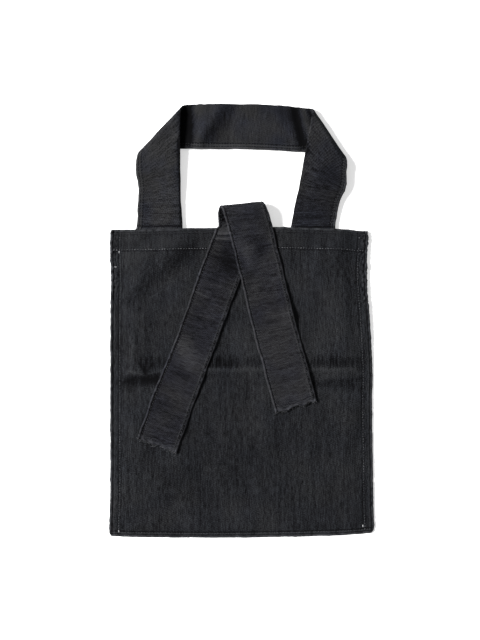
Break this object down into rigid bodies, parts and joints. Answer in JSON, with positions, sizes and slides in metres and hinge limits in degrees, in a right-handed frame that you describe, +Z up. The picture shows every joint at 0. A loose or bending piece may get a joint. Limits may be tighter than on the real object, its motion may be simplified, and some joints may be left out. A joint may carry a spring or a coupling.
{
  "type": "tote bag",
  "caption": "Flat denim tote bag lying on its back, with a wide folded handle strap and a tie strap looped over the mouth.",
  "frame": {"origin": "middle of the bag's footprint with its handle and tie as laid, on the surface the back panel rests on", "axes": "+X to the right across the bag, +Y from the foot towards the mouth and handle, +Z up out of the front panel"},
  "size_m": [0.3312, 0.5418, 0.0177],
  "materials": {
    "panel_denim": "matte black denim with fine lighter warp streaks and pale grey topstitching",
    "handle_denim": "matte black denim, streaks across the strap, topstitched along one edge",
    "tie_denim": "matte black denim, streaks across the strap, topstitched, with frayed ends"
  },
  "bodies": {
    "root": {"back_panel": "panel_denim", "front_panel": "panel_denim", "handle_strap": "handle_denim", "tie_strap": "tie_denim"}
  },
  "joints": []
}
